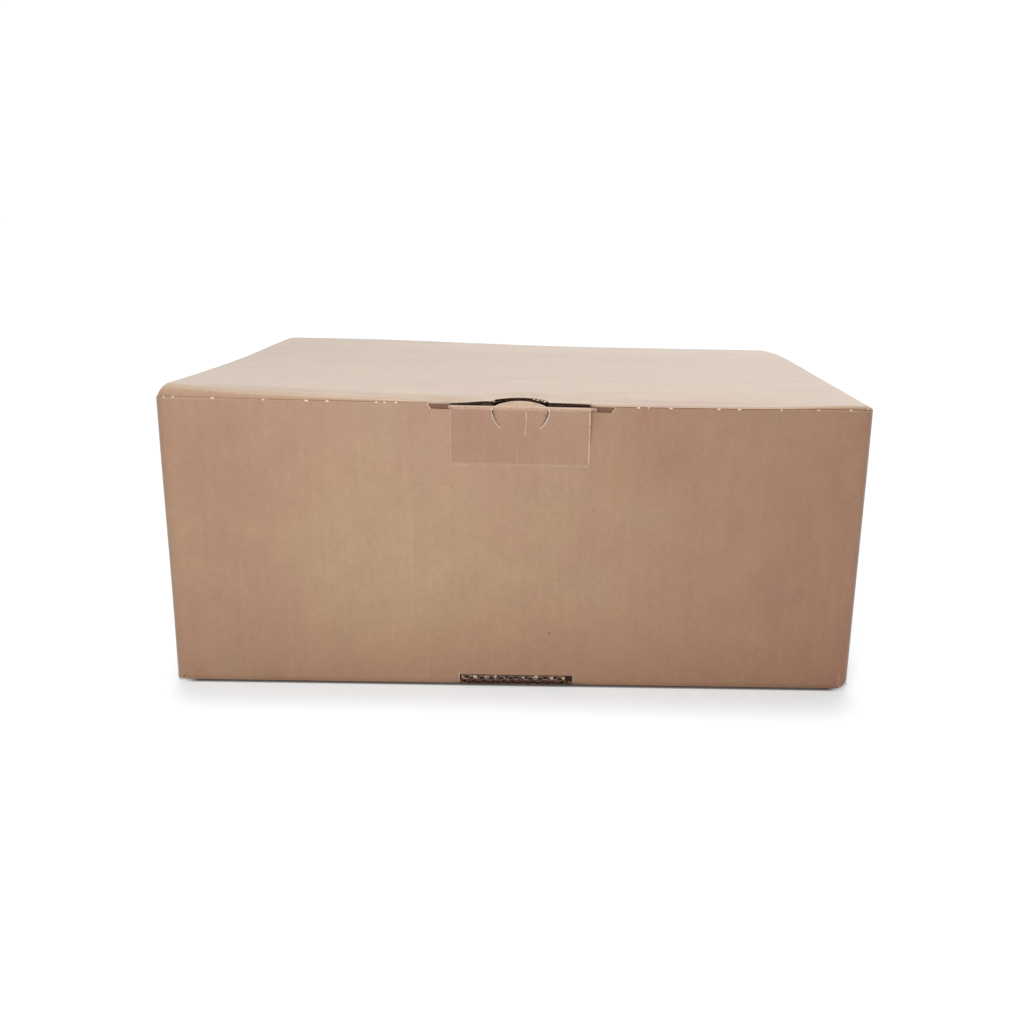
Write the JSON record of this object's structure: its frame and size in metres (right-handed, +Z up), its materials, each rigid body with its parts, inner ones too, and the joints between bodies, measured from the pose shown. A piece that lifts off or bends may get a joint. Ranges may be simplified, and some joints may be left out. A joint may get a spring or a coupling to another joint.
{
  "type": "closed cardboard box",
  "caption": "Closed one-piece corrugated cardboard box with a tuck-in lid and a lock tab in its front wall.",
  "frame": {"origin": "on the floor, below the middle of the box", "axes": "+Z up, -Y towards the front wall with the lock tab, +X to the right as seen from the front"},
  "size_m": [0.442, 0.344, 0.1942],
  "materials": {
    "board": "matt kraft liner"
  },
  "bodies": {
    "carton": {"carton": "board"},
    "lock_tab": {"lock_tab": "board"}
  },
  "joints": [
    {"name": "tab_crease", "type": "hinge", "parent": "carton", "child": "lock_tab", "pos_m": [0.0024, -0.172, 0.14793], "axis": [1, 0, 0], "range_deg": [0, 150]}
  ]
}
